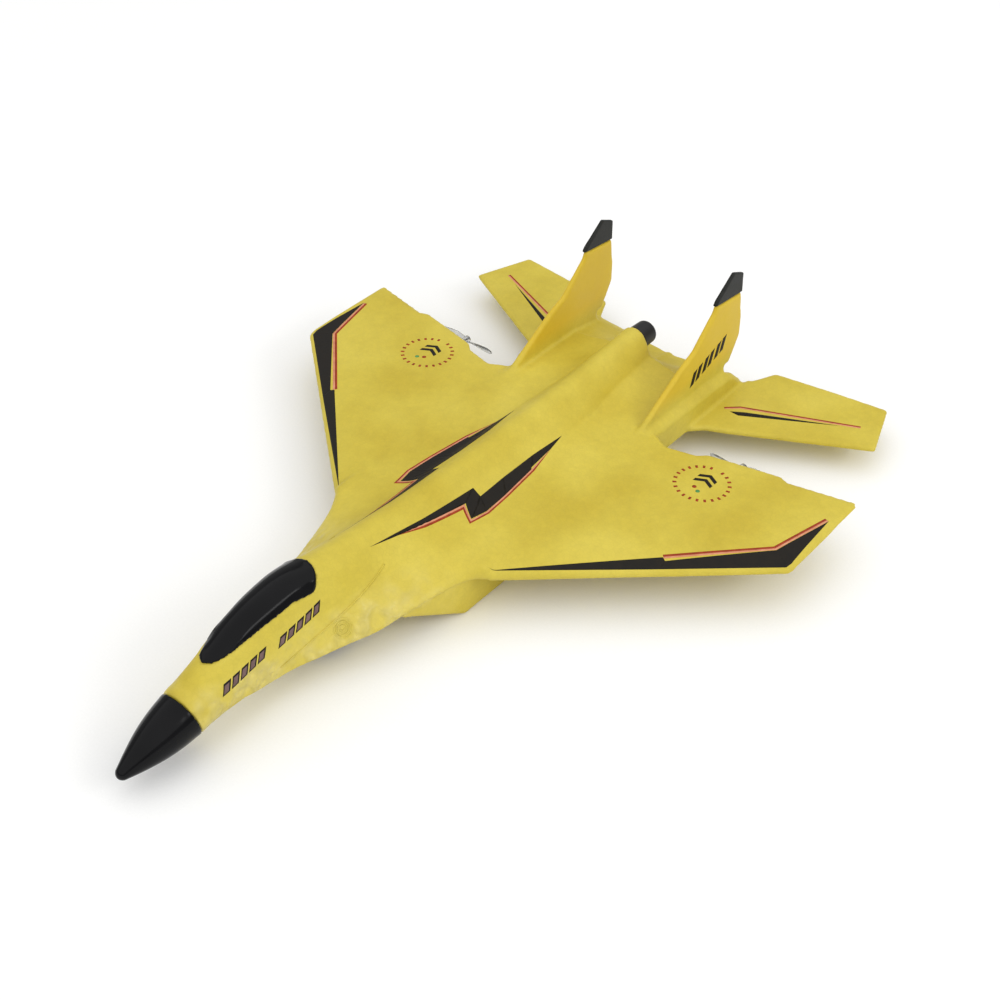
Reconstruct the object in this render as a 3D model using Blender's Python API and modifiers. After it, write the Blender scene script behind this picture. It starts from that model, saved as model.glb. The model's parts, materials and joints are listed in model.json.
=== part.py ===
"""Twin-motor foam jet glider, 320 mm span: a model aeroplane of moulded foam with two pusher propellers.

Frame: origin on the floor under the middle of the model, nose towards -Y, left wing towards +X, +Z up.
Sizes below are in millimetres, and MM turns them into metres.
"""

import math

import bmesh
import bpy
import numpy as np
from mathutils import Matrix, Vector

MM = 0.001

# Overall layout
HALF_SPAN = 160.0
GAP = 0.3                    # clearance between pieces that touch

# Fuselage moulding: one row per station along Y
#   y      crest  crest_r shoulder_x shoulder_z edge_x edge_z edge_t keel_x keel_top keel_z
STATIONS = (
    (-163.0, 42.3, 10.0, 12.9, 25.0, 12.3, 20.5, 0.6, 7.0, 15.0, 10.0),
    (-146.0, 50.4, 9.9, 13.4, 23.0, 13.5, 17.2, 0.6, 7.5, 13.5, 10.0),
    (-131.0, 54.3, 11.3, 14.3, 23.0, 14.5, 16.4, 2.2, 9.0, 13.0, 9.2),
    (-115.0, 56.0, 12.0, 15.2, 28.0, 19.8, 17.4, 3.5, 11.5, 14.5, 7.7),
    (-100.5, 54.5, 12.4, 16.0, 32.0, 25.2, 18.7, 4.0, 14.0, 15.5, 6.0),
    (-87.0, 52.6, 12.0, 16.5, 35.0, 31.2, 20.5, 4.4, 14.0, 18.3, 6.0),
    (-69.0, 51.0, 11.0, 16.5, 37.5, 35.2, 22.8, 4.9, 14.0, 20.3, 6.0),
    (-46.0, 49.3, 10.5, 17.0, 37.0, 41.0, 25.6, 6.2, 14.0, 22.5, 6.0),
    (-34.0, 48.2, 10.0, 17.5, 36.0, 47.0, 27.2, 8.0, 14.0, 23.2, 6.2),
    (-31.6, 48.0, 10.0, 17.5, 35.8, 49.7, 27.2, 9.0, 14.0, 23.1, 6.4),
    (4.0, 47.2, 10.0, 18.0, 35.0, 49.7, 27.8, 10.0, 13.0, 22.8, 9.0),
    (54.0, 47.0, 9.5, 18.0, 34.2, 49.7, 27.8, 10.0, 12.0, 22.8, 10.0),
    (94.0, 47.6, 9.0, 17.0, 33.6, 49.7, 27.6, 9.8, 12.0, 22.7, 9.0),
    (116.0, 48.6, 8.4, 14.0, 35.0, 49.7, 21.5, 19.0, 12.0, 12.0, 9.0),
    (140.0, 50.4, 8.0, 12.0, 37.0, 49.7, 21.3, 18.6, 12.0, 12.0, 9.0),
    (155.6, 51.0, 8.0, 11.0, 37.5, 49.7, 21.2, 18.4, 12.0, 12.0, 9.0),
    (156.0, 32.8, 3.0, 14.0, 32.4, 49.7, 21.2, 18.4, 12.0, 12.0, 9.0),
    (164.0, 29.6, 3.0, 14.0, 29.2, 49.6, 20.9, 17.8, 12.0, 12.0, 9.0),
    (178.0, 19.0, 2.0, 15.0, 18.7, 49.4, 20.6, 17.2, 12.0, 12.0, 9.2),
    (193.0, 15.6, 2.0, 14.0, 15.3, 48.6, 14.8, 5.2, 12.0, 12.2, 10.0),
)
SHORT_BAY = 7.0                        # bays shorter than this stay straight
STRAIGHT_BAY_Y = 94.0                  # and so does the bay over the nacelles' sloping roof
NOSE_RING_Y, NOSE_RING_Z, NOSE_RING_R = -181.2, 20.8, 12.2
NOSE_TILT = math.radians(12.8)         # the nose droops by this much
NOSE_LENGTH = 39.8
SPIGOT_R, SPIGOT_LENGTH = 8.6, 12.0

# Canopy: its lower edge in side view, and the round rear end in plan
SILL = ((-166.0, 40.6), (-160.0, 41.8), (-151.0, 44.4), (-136.0, 47.5), (-120.0, 49.5), (-107.0, 47.8))
CANOPY_REAR_Y, CANOPY_REAR_R = -111.7, 11.8
CANOPY_WALL = 1.5

# Tail cap on the end of the spine
CAP_Y, CAP_Z, CAP_R, CAP_LENGTH = 156.0, 43.0, 7.0, 12.0

# Wings: section at the root and at the tip; between them everything is interpolated
WING_ROOT_X = 50.0
WING_LE = ((50.0, -31.6), (160.0, 62.6))
WING_TE = ((50.0, 106.5), (59.5, 101.5), (76.0, 105.5), (81.0, 110.0), (119.0, 119.0), (124.0, 117.0),
           (160.0, 125.2))
ROOT_SECTION = dict(nose_t=7.0, nose_z=25.0, top_z=33.0, thick=9.6, tail_z=29.6, tail_t=3.0)
TIP_SECTION = dict(nose_t=3.4, nose_z=25.9, top_z=29.0, thick=3.9, tail_z=28.4, tail_t=1.6)

# Tailplanes and fins
TAIL_OUTLINE = ((50.1, 136.5), (57.0, 143.6), (67.0, 148.0), (137.4, 185.0), (125.0, 220.0), (94.0, 216.2),
                (59.4, 211.0), (52.6, 196.2), (50.1, 195.6))
TAIL_Z, TAIL_T = 15.6, 3.0
FIN_X, FIN_T, FIN_TIP_T = 43.3, 3.6, 2.2
FIN_TAB_END, FIN_TAB_Z = 178.0, 27.0
FIN_OUTLINE = ((101.0, 33.4), (135.8, 53.4), (146.8, 58.0), (164.2, 74.2), (165.2, 77.4), (189.5, 75.0),
               (190.1, 66.0), (191.2, 60.0), (191.0, 48.0), (186.5, 40.5), (182.0, 33.8))
FIN_CAP_OUTLINE = ((164.0, 77.8), (166.0, 80.6), (180.4, 91.3), (190.0, 87.0), (189.8, 75.4))

# Engine nacelles under the body: y, outer x, top z, bottom z
NACELLE_IN_X = 14.8
NACELLE = (
    (-72.0, 33.3, 19.7, 18.5),
    (-69.0, 34.0, 20.0, 17.2),
    (-46.0, 39.4, 22.2, 5.0),
    (-37.0, 41.0, 22.4, 0.0),
    (-31.6, 41.0, 22.4, 0.0),
    (4.0, 41.0, 22.5, 0.0),
    (54.0, 41.0, 22.5, 0.0),
    (94.0, 41.0, 22.4, 0.0),
    (116.0, 40.0, 11.7, 0.0),
    (150.0, 38.5, 11.7, 0.0),
    (176.0, 37.0, 11.7, 1.6),
    (188.0, 35.0, 11.4, 2.6),
)
INTAKE_X = (17.6, 32.0)
INTAKE_PROFILE = ((-92.0, 17.0), (-50.0, 17.0), (-30.0, 3.0), (-60.0, 3.0))
SCOOP_END = -29.0                      # where the scoop meets the long nacelle
NOZZLE_R, NOZZLE_Y = 3.6, 180.0

# Equipment bay in the belly
BAY_X, BAY_Y0, BAY_Y1, BAY_TOP = 10.4, -99.4, -35.0, 30.0
FLANGE_X, FLANGE_Y0, FLANGE_Y1 = 11.8, -101.4, -33.4
BELLY_Z = 6.0
FLANGE_T, TUB_WALL = 1.2, 0.8
DOOR_Y0, DOOR_Y1, DOOR_X, DOOR_Z, DOOR_T = -97.2, -57.0, 10.6, 4.4, 1.3
HINGE_Y, HINGE_Z, PIN_R = -99.6, 4.2, 0.6
PANEL_Y0, PANEL_Y1 = -56.4, -34.0
PANEL_SCREWS = ((-8.0, -53.6), (8.0, -36.8))
SWITCH_Y, SOCKET_Y = -50.0, -41.0
BATTERY = ((-9.0, -96.0, 18.6), (9.0, -62.0, 26.6))
BOARD = ((-8.5, -57.6, 22.0), (8.5, -38.0, 23.2))
CHIPS = (((-5.0, -55.0), (1.0, -49.0), 1.1), ((3.0, -55.5), (6.6, -50.5), 0.9),
         ((-6.6, -45.0), (-1.0, -40.5), 1.3), ((2.0, -46.0), (6.0, -42.0), 0.8))

# Motors and propellers
MOTOR_X, MOTOR_Z, MOTOR_R = 94.0, 20.0, 3.5
MOTOR_Y0, MOTOR_Y1 = 98.0, 114.0
SHAFT_R, SHAFT_END = 0.5, 124.6
PROP_Y, PROP_R, HUB_R, HUB_LENGTH = 122.0, 19.5, 2.6, 5.0
SPAR_Y, SPAR_Z, SPAR_R, SPAR_HALF = 45.0, 28.0, 1.0, 112.0
TAIL_SPAR_Y, TAIL_SPAR_R, TAIL_SPAR_HALF = 178.0, 0.75, 92.0
LEAD_R, GROOVE = 0.6, 1.9


def clear_scene():
    for obj in list(bpy.data.objects):
        bpy.data.objects.remove(obj, do_unlink=True)


def new_collection(name):
    made = bpy.data.collections.new(name)
    bpy.context.scene.collection.children.link(made)
    return made


clear_scene()
PARTS = new_collection("foam_jet_glider")
CUTTERS = new_collection("cutters")


def material(name, color, roughness, metallic=0.0, alpha=1.0):
    made = bpy.data.materials.new(name)
    made.use_nodes = True
    shader = made.node_tree.nodes["Principled BSDF"]
    shader.inputs["Base Color"].default_value = (*color, 1.0)
    shader.inputs["Roughness"].default_value = roughness
    shader.inputs["Metallic"].default_value = metallic
    shader.inputs["Alpha"].default_value = alpha
    return made


FOAM = material("yellow_foam", (0.70, 0.56, 0.07), 0.55)
GLOSS_BLACK = material("gloss_black_plastic", (0.006, 0.006, 0.007), 0.15)
SATIN_BLACK = material("satin_black_plastic", (0.012, 0.012, 0.014), 0.45)
TIP_FILM = material("black_tip_film", (0.03, 0.03, 0.034), 0.4)
CLEAR_GREY = material("smoke_clear_plastic", (0.55, 0.57, 0.60), 0.15, alpha=0.35)
STEEL = material("steel", (0.55, 0.55, 0.56), 0.3, 1.0)
MOTOR_SHELL = material("nickel_motor_can", (0.62, 0.61, 0.58), 0.28, 1.0)
CARBON = material("carbon_rod", (0.02, 0.02, 0.022), 0.35)
FOIL = material("battery_foil", (0.60, 0.61, 0.62), 0.35, 0.9)
BOARD_GREEN = material("circuit_board", (0.01, 0.12, 0.045), 0.4)
WHITE_PLASTIC = material("white_connector_plastic", (0.75, 0.74, 0.70), 0.4)
RED_WIRE = material("red_wire", (0.45, 0.01, 0.01), 0.4)
BLACK_WIRE = material("black_wire", (0.01, 0.01, 0.01), 0.4)


def add(name, mesh, mat=None, cutter=False):
    """An object of this mesh, in the parts collection or, as a hidden wire helper, among the cutters."""
    obj = bpy.data.objects.new(name, mesh)
    (CUTTERS if cutter else PARTS).objects.link(obj)
    if mat:
        obj.data.materials.append(mat)
    if cutter:
        obj.hide_render = True
        obj.display_type = "WIRE"
    return obj


def face_outwards(bm):
    bmesh.ops.recalc_face_normals(bm, faces=bm.faces)
    if bm.calc_volume(signed=True) < 0:
        bmesh.ops.reverse_faces(bm, faces=bm.faces)


def mesh_from(name, bm):
    mesh = bpy.data.meshes.new(name)
    face_outwards(bm)
    bm.to_mesh(mesh)
    bm.free()
    return mesh


def smooth(obj, angle=40.0):
    obj.data.shade_smooth()
    obj.data.set_sharp_from_angle(angle=math.radians(angle))
    return obj


def loft(name, rings, mat=None, cutter=False):
    """A closed skin through rings of equal point counts, in millimetres, with flat ends."""
    bm = bmesh.new()
    rows = [[bm.verts.new(Vector(point) * MM) for point in ring] for ring in rings]
    for near, far in zip(rows, rows[1:]):
        for i in range(len(near)):
            j = (i + 1) % len(near)
            bm.faces.new((near[i], near[j], far[j], far[i]))
    bm.faces.new(rows[0])
    bm.faces.new(rows[-1])
    bmesh.ops.triangulate(bm, faces=[face for face in bm.faces if len(face.verts) > 4])
    return add(name, mesh_from(name, bm), mat, cutter)


def box(name, low, high, mat=None, cutter=False, bevel=0.0):
    """A box between two corners in millimetres, with optional rounded edges."""
    bm = bmesh.new()
    bmesh.ops.create_cube(bm, size=1.0)
    size = Vector(high) - Vector(low)
    middle = (Vector(high) + Vector(low)) / 2
    bmesh.ops.scale(bm, vec=size * MM, verts=bm.verts)
    bmesh.ops.translate(bm, vec=middle * MM, verts=bm.verts)
    obj = add(name, mesh_from(name, bm), mat, cutter)
    if bevel:
        round_edges(obj, bevel)
    return obj


def round_edges(obj, width, segments=2):
    mod = obj.modifiers.new("round", "BEVEL")
    mod.width = width * MM
    mod.segments = segments
    mod.limit_method = "ANGLE"
    mod.angle_limit = math.radians(40)
    return obj


def prism(name, outline, low, high, axis, mat=None, cutter=False):
    """A flat outline swept between two heights along an axis.

    The outline's plane is (Y, Z), (X, Z) or (X, Y), whichever the axis is square to.
    """
    places = {
        "X": lambda a, b, c: (c, a, b),
        "Y": lambda a, b, c: (a, c, b),
        "Z": lambda a, b, c: (a, b, c),
    }[axis]
    rings = [[places(a, b, c) for a, b in outline] for c in (low, high)]
    return loft(name, rings, mat, cutter)


def cylinder(name, start, end, radius, mat=None, cutter=False, sides=24, end_radius=None):
    """A round bar from one point to another, in millimetres, which may taper."""
    start, end = Vector(start), Vector(end)
    along = end - start
    bm = bmesh.new()
    bmesh.ops.create_cone(
        bm, cap_ends=True, segments=sides, radius1=radius * MM,
        radius2=(radius if end_radius is None else end_radius) * MM, depth=along.length * MM,
    )
    turn = along.to_track_quat("Z", "Y").to_matrix().to_4x4()
    bm.transform(Matrix.Translation((start + end) / 2 * MM) @ turn)
    return smooth(add(name, mesh_from(name, bm), mat, cutter))


def turned(name, profile, origin, tilt, mat, steps=40):
    """A profile of (radius, height) from top to bottom of its outer side, screwed round an axis along -Y."""
    mesh = bpy.data.meshes.new(name)
    points = [(radius * MM, 0.0, height * MM) for radius, height in profile]
    mesh.from_pydata(points, [(i, i + 1) for i in range(len(points) - 1)], [])
    obj = add(name, mesh, mat)
    screw = obj.modifiers.new("turn", "SCREW")
    screw.steps = steps
    screw.render_steps = steps
    screw.use_merge_vertices = True
    screw.merge_threshold = 0.00001
    obj.location = Vector(origin) * MM
    obj.rotation_euler = (math.radians(90) + tilt, 0.0, 0.0)
    return obj


def boolean(obj, other, operation):
    mod = obj.modifiers.new(operation.lower(), "BOOLEAN")
    mod.operation = operation
    mod.object = other
    return obj


def cut(obj, other):
    return boolean(obj, other, "DIFFERENCE")


def tube(name, points, radius, mat, cutter=False, resolution=2):
    """A wire along points in millimetres."""
    curve = bpy.data.curves.new(name, "CURVE")
    curve.dimensions = "3D"
    curve.bevel_depth = radius * MM
    curve.bevel_resolution = resolution
    curve.use_fill_caps = True
    spline = curve.splines.new("POLY")
    spline.points.add(len(points) - 1)
    for slot, point in zip(spline.points, points):
        slot.co = (*(Vector(point) * MM), 1.0)
    obj = bpy.data.objects.new(name, curve)
    PARTS.objects.link(obj)
    curve.materials.append(mat)
    if cutter:
        obj = solid_from_curve(obj)
    return obj


def solid_from_curve(obj):
    """The curve as a closed mesh among the cutters; the curve goes."""
    bpy.context.view_layer.update()
    graph = bpy.context.evaluated_depsgraph_get()
    mesh = bpy.data.meshes.new_from_object(obj.evaluated_get(graph))
    bm = bmesh.new()
    bm.from_mesh(mesh)
    bmesh.ops.remove_doubles(bm, verts=bm.verts, dist=0.000001)
    face_outwards(bm)
    bm.to_mesh(mesh)
    bm.free()
    mesh.materials.clear()
    name = obj.name
    bpy.data.objects.remove(obj)
    return add(name, mesh, cutter=True)


def curved(points, count):
    """Evenly numbered points on a smooth curve through hand-set points (Catmull-Rom)."""
    path = [Vector(points[0])] + [Vector(p) for p in points] + [Vector(points[-1])]
    out = []
    for i in range(1, len(path) - 2):
        a, b, c, d = path[i - 1:i + 3]
        for step in range(count):
            t = step / count
            out.append(0.5 * (2 * b + (c - a) * t + (2 * a - 5 * b + 4 * c - d) * t * t
                              + (3 * b - a - 3 * c + d) * t ** 3))
    out.append(Vector(points[-1]))
    return out


# ---------------------------------------------------------------- fuselage

def half_section(station):
    """Left half of the fuselage section at a station, crest to keel, as (x, z)."""
    _, crest, r, sh_x, sh_z, edge_x, edge_z, edge_t, keel_x, keel_top, keel_z = station
    arc = [(r * math.sin(a), crest - r * (1 - math.cos(a))) for a in np.radians((0.0, 22.5, 45.0, 67.5))]
    flank = ((arc[-1][0] + sh_x) / 2 + 0.6, (arc[-1][1] + sh_z) / 2)
    c = min(edge_t / 2, 2.4) * 0.99
    top, bottom = edge_z + edge_t / 2, edge_z - edge_t / 2
    deck = ((sh_x + edge_x - c) / 2, (sh_z + top) / 2 - (sh_z - top) * 0.08)
    return arc + [
        flank, (sh_x, sh_z), deck,
        (edge_x - c, top), (edge_x, top - c), (edge_x, bottom + c), (edge_x - c, bottom),
        (keel_x + 0.2, min(keel_top, bottom)), (keel_x, (keel_top + keel_z) / 2),
        (keel_x, keel_z + 1.8), (keel_x - 1.8, keel_z), (0.0, keel_z),
    ]


def full_ring(half, y):
    """The closed ring of a half section, both sides of the centre line."""
    other = [(-x, z) for x, z in reversed(half[1:-1])]
    return [(x, y, z) for x, z in half + other]


def nose_ring():
    """The round front face, square to the drooping nose axis."""
    count = len(half_section(STATIONS[0]))
    ring = []
    for i in range(count):
        angle = math.pi * i / (count - 1)
        x = NOSE_RING_R * math.sin(angle)
        up = NOSE_RING_R * math.cos(angle)
        ring.append((x, NOSE_RING_Y - up * math.sin(NOSE_TILT), NOSE_RING_Z + up * math.cos(NOSE_TILT)))
    return ring + [(-x, y, z) for x, y, z in reversed(ring[1:-1])]


def monotone_slopes(ys, values):
    """A slope at each row that makes the curve through the rows smooth without passing any of them."""
    rises = [(v1 - v0) / (y1 - y0) for y0, y1, v0, v1 in zip(ys, ys[1:], values, values[1:])]
    inner = [2 * a * b / (a + b) if a * b > 0 else 0.0 for a, b in zip(rises, rises[1:])]
    return [rises[0]] + inner + [rises[-1]]


def smooth_stations():
    """The station rows with two more in each long bay, so that the skin curves instead of folding."""
    ys = [row[0] for row in STATIONS]
    columns = list(zip(*STATIONS))
    slopes = [monotone_slopes(ys, column) for column in columns]
    rows = []
    for i, (low, high) in enumerate(zip(STATIONS, STATIONS[1:])):
        rows.append(low)
        length = high[0] - low[0]
        if length < SHORT_BAY or low[0] == STRAIGHT_BAY_Y:
            continue
        for t in (1 / 3, 2 / 3):
            row = [low[0] + t * length]
            for k in range(1, len(low)):
                a, b = low[k], high[k]
                m, n = slopes[k][i] * length, slopes[k][i + 1] * length
                row.append((1 + 2 * t) * (1 - t) ** 2 * a + t * (1 - t) ** 2 * m
                           + t * t * (3 - 2 * t) * b + t * t * (t - 1) * n)
            rows.append(tuple(row))
    return rows + [STATIONS[-1]]


def body_rings():
    return [full_ring(half_section(station), station[0]) for station in smooth_stations()]


def canopy_space(name, grow):
    """The space above the sill line and ahead of the round rear end; grow widens it all round."""
    lift = [(y, z - grow) for y, z in SILL]
    side = [(-174.0, 42.4 - grow)] + lift + [(-95.0, lift[-1][1]), (-95.0, 70.0), (-174.0, 70.0)]
    space = prism(name, side, -22.0, 22.0, "X", cutter=True)
    rear = [(-22.0, -175.0), (22.0, -175.0), (22.0, CANOPY_REAR_Y - 6.0)]
    r = CANOPY_REAR_R + grow
    rear += [(r * math.cos(a), CANOPY_REAR_Y + r * math.sin(a))
             for a in np.radians(np.arange(0.0, 181.0, 15.0))]
    rear += [(-22.0, CANOPY_REAR_Y - 6.0)]
    plan = prism(name + "_plan", rear, 20.0, 80.0, "Z", cutter=True)
    return boolean(space, plan, "INTERSECT")


def make_fuselage():
    body = loft("fuselage_foam", [nose_ring()] + body_rings(), FOAM)
    cut(body, canopy_space("canopy_seat", GAP / 2))
    cut(body, box("bay_pocket", (-BAY_X - GAP, BAY_Y0 - GAP, -10.0),
                  (BAY_X + GAP, BAY_Y1 + GAP, BAY_TOP + GAP), cutter=True))
    cut(body, box("flange_recess", (-FLANGE_X - GAP, FLANGE_Y0 - GAP, -10.0),
                  (FLANGE_X + GAP, FLANGE_Y1 + GAP, BELLY_Z + FLANGE_T + GAP), cutter=True))
    axis = Vector((0.0, -math.cos(NOSE_TILT), -math.sin(NOSE_TILT)))
    base = Vector((0.0, NOSE_RING_Y, NOSE_RING_Z))
    spigot = cylinder("nose_spigot", base - axis * 4.0, base + axis * SPIGOT_LENGTH, SPIGOT_R, cutter=True)
    boolean(body, spigot, "UNION")
    boom = cylinder("cap_spigot", (0.0, CAP_Y - 6.0, CAP_Z), (0.0, CAP_Y + 8.0, CAP_Z), CAP_R - 1.5,
                    cutter=True)
    boolean(body, boom, "UNION")
    cut(body, cylinder("spar_bore", (-60.0, SPAR_Y, SPAR_Z), (60.0, SPAR_Y, SPAR_Z), SPAR_R + 0.25,
                       cutter=True, sides=12))
    cut(body, cylinder("tail_spar_bore", (-60.0, TAIL_SPAR_Y, TAIL_Z), (60.0, TAIL_SPAR_Y, TAIL_Z),
                       TAIL_SPAR_R + 0.25, cutter=True, sides=12))
    for side, tag in ((1, "left"), (-1, "right")):
        low, far = FIN_TAB_Z - 0.5, FIN_TAB_END + 0.5
        slot = prism("fin_slot_" + tag, [(87.5, low), (far, low), (far, 45.0), (87.5, 45.0)],
                     side * (FIN_X - FIN_T / 2 - GAP), side * (FIN_X + FIN_T / 2 + GAP), "X", cutter=True)
        cut(body, slot)
        groove = tube("lead_groove_" + tag, lead_route(side, 0.0)[-16:], GROOVE, FOAM, cutter=True,
                      resolution=1)
        cut(body, groove)
    return smooth(body)


def make_canopy():
    shell = loft("canopy", [nose_ring()] + body_rings(), GLOSS_BLACK)
    boolean(shell, canopy_space("canopy_blank", -GAP / 2), "INTERSECT")
    rings = []
    for y, crest, r in [station[:3] for station in STATIONS if -150.0 < station[0] < -90.0]:
        r -= CANOPY_WALL + 0.4
        top = crest - CANOPY_WALL
        arc = [(r * math.sin(a), top - r * (1 - math.cos(a))) for a in np.radians((0.0, 22.5, 45.0, 67.5))]
        half = arc + [(arc[-1][0], 34.0), (0.0, 34.0)]
        rings.append(full_ring(half, y))
    core = loft("canopy_core", rings, cutter=True)
    ends = box("canopy_core_ends", (-20.0, -146.0 + GAP, 30.0), (20.0, -106.0, 70.0), cutter=True)
    boolean(core, ends, "INTERSECT")
    cut(shell, core)
    return smooth(shell)


def make_nose_cone():
    outer = [(0.0, 0.0), (1.4, 0.35), (2.6, 1.3), (3.6, 2.9), (4.8, 5.8), (6.2, 9.8), (7.7, 14.4),
             (9.1, 19.0), (10.3, 24.0), (11.2, 29.0), (11.85, 34.0), (NOSE_RING_R, NOSE_LENGTH - 0.3)]
    inner = [(SPIGOT_R + GAP, NOSE_LENGTH - 0.3), (SPIGOT_R + GAP, NOSE_LENGTH - SPIGOT_LENGTH - 1.0),
             (6.4, 19.0), (3.0, 9.0), (0.0, 4.0)]
    profile = [(r, NOSE_LENGTH - s) for r, s in outer + inner]
    return turned("nose_cone", profile, (0.0, NOSE_RING_Y, NOSE_RING_Z), NOSE_TILT, GLOSS_BLACK)


def make_tail_cap():
    r = CAP_R
    profile = [(0.0, CAP_LENGTH), (r - 2.4, CAP_LENGTH), (r - 1.0, CAP_LENGTH - 0.5),
               (r - 0.3, CAP_LENGTH - 1.7), (r, GAP), (r - 1.2, GAP), (r - 1.2, 9.0), (0.0, 9.0)]
    cap = turned("tail_cap", profile, (0.0, CAP_Y, CAP_Z), 0.0, SATIN_BLACK, steps=32)
    cap.rotation_euler = (math.radians(-90), 0.0, 0.0)
    return cap


# ---------------------------------------------------------------- wings, tail and nacelles

def along(pairs, x):
    """The value at x on a line through (x, value) pairs."""
    xs, ys = zip(*pairs)
    return float(np.interp(x, xs, ys))


def wing_section(x, side):
    """Closed wing section at a span station: rounded nose, cambered top, blunt tail."""
    share = (x - WING_ROOT_X) / (HALF_SPAN - WING_ROOT_X)
    v = {key: ROOT_SECTION[key] + (TIP_SECTION[key] - ROOT_SECTION[key]) * share for key in ROOT_SECTION}
    front, rear = along(WING_LE, x), along(WING_TE, x)
    chord = rear - front
    t, nose, top, tail, tail_t = v["nose_t"], v["nose_z"], v["top_z"], v["tail_z"], v["tail_t"]
    low = top - v["thick"]
    outline = [
        (0.0, nose), (0.15 * t, nose + 0.30 * t), (0.55 * t, nose + 0.48 * t),
        (0.12 * chord, nose + 0.80 * (top - nose)),
        (0.32 * chord, top), (0.62 * chord, top + 0.42 * (tail + tail_t / 2 - top)),
        (chord - 2.0, tail + tail_t / 2), (chord - 0.4, tail + tail_t * 0.3), (chord, tail),
        (chord - 0.4, tail - tail_t * 0.3), (chord - 2.0, tail - tail_t / 2),
        (0.62 * chord, low + 0.42 * (tail - tail_t / 2 - low)), (0.32 * chord, low),
        (0.12 * chord, nose - 0.80 * (nose - low)), (0.55 * t, nose - 0.48 * t), (0.15 * t, nose - 0.30 * t),
    ]
    return [(side * x, front + y, z) for y, z in outline]


def make_wing(side, tag):
    spans = [50.0, 54.0, 59.5, 68.0, 76.0, 81.0, 94.0, 106.0, 119.0, 124.0, 136.0, 150.0, 158.6]
    rings = [wing_section(x, side) for x in spans]
    tip = wing_section(HALF_SPAN, side)
    middle = np.mean(tip, axis=0)
    tip = [tuple(middle + (np.array(p) - middle) * (1.0, 0.965, 0.55)) for p in tip]
    wing = loft("wing_" + tag, rings + [tip], FOAM)
    cut(wing, cylinder("wing_bore_" + tag, (side * 40.0, SPAR_Y, SPAR_Z),
                       (side * (SPAR_HALF + 0.4), SPAR_Y, SPAR_Z), SPAR_R + 0.25, cutter=True, sides=12))
    groove = tube("wing_groove_" + tag, lead_route(side, 0.0)[1:-9], GROOVE, FOAM, cutter=True, resolution=1)
    cut(wing, groove)
    return smooth(wing)


def make_tailplane(side, tag):
    outline = [(side * x, y) for x, y in TAIL_OUTLINE]
    plate = prism("tailplane_" + tag, outline, TAIL_Z - TAIL_T / 2, TAIL_Z + TAIL_T / 2, "Z", FOAM)
    round_edges(plate, 1.2, 3)
    end = side * (TAIL_SPAR_HALF + 0.4)
    cut(plate, cylinder("tail_bore_" + tag, (side * 40.0, TAIL_SPAR_Y, TAIL_Z), (end, TAIL_SPAR_Y, TAIL_Z),
                        TAIL_SPAR_R + 0.25, cutter=True, sides=12))
    return smooth(plate)


def slab(name, outline, x, side, foot_t, tip_t, z_foot, z_tip, mat):
    """An upright plate in the (Y, Z) plane whose thickness tapers with height, edges rounded."""
    bm = bmesh.new()
    walls = []
    for sign in (-1, 1):
        row = []
        for y, z in outline:
            share = (z - z_foot) / (z_tip - z_foot)
            half = (foot_t + (tip_t - foot_t) * share) / 2
            row.append(bm.verts.new(Vector((side * x + sign * half, y, z)) * MM))
        walls.append(row)
        bm.faces.new(row)
    for i in range(len(outline)):
        j = (i + 1) % len(outline)
        bm.faces.new((walls[0][i], walls[0][j], walls[1][j], walls[1][i]))
    obj = add(name, mesh_from(name, bm), mat)
    return round_edges(obj, min(foot_t, tip_t) * 0.3, 2)


def make_fin(side, tag):
    tab = ((FIN_TAB_END, 33.8), (FIN_TAB_END, FIN_TAB_Z), (88.0, FIN_TAB_Z), (88.0, 32.6))
    fin = slab("fin_" + tag, FIN_OUTLINE + tab, FIN_X, side, FIN_T, FIN_TIP_T + 0.4, FIN_TAB_Z, 78.0, FOAM)
    cap = slab("fin_tip_" + tag, FIN_CAP_OUTLINE, FIN_X, side, FIN_TIP_T + 0.5, FIN_TIP_T - 0.2, 76.0, 92.0,
               TIP_FILM)
    return smooth(fin), smooth(cap)


def nacelle_section(row, side):
    y, outer, top, bottom = row
    height = top - bottom
    r = min(2.6, height * 0.45)
    inner = NACELLE_IN_X
    corner = [(r * (1 - math.cos(a)), r * (1 - math.sin(a))) for a in np.radians((0.0, 30.0, 60.0, 90.0))]
    ring = [(inner, top), (outer - 0.4, top), (outer, top - min(0.6, height * 0.2))]
    ring += [(outer - dx, bottom + dz) for dx, dz in corner]
    ring += [(inner + dx, bottom + dz) for dx, dz in reversed(corner)]
    return [(side * x, y, z) for x, z in ring]


def make_nacelle(side, tag):
    """The intake scoop with its sloping duct, and the long nacelle that carries on behind it."""
    rings = [nacelle_section(row, side) for row in NACELLE]
    low, high = sorted(side * x for x in INTAKE_X)
    near, far = sorted((side * (NACELLE_IN_X - 4.0), side * 50.0))
    scoop = loft("intake_scoop_" + tag, rings, FOAM)
    cut(scoop, prism("intake_duct_" + tag, INTAKE_PROFILE, low, high, "X", cutter=True))
    cut(scoop, box("behind_scoop_" + tag, (near, SCOOP_END, -5.0), (far, 200.0, 30.0), cutter=True))
    smooth(scoop)
    body = loft("nacelle_" + tag, rings, FOAM)
    cut(body, box("ahead_of_nacelle_" + tag, (near, -90.0, -5.0), (far, SCOOP_END + GAP, 30.0), cutter=True))
    middle = side * (NACELLE_IN_X + 35.0) / 2
    cut(body, cylinder("nozzle_" + tag, (middle, NOZZLE_Y, 7.0), (middle, 200.0, 7.0), NOZZLE_R, cutter=True,
                       end_radius=NOZZLE_R + 0.8))
    return smooth(body)


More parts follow.
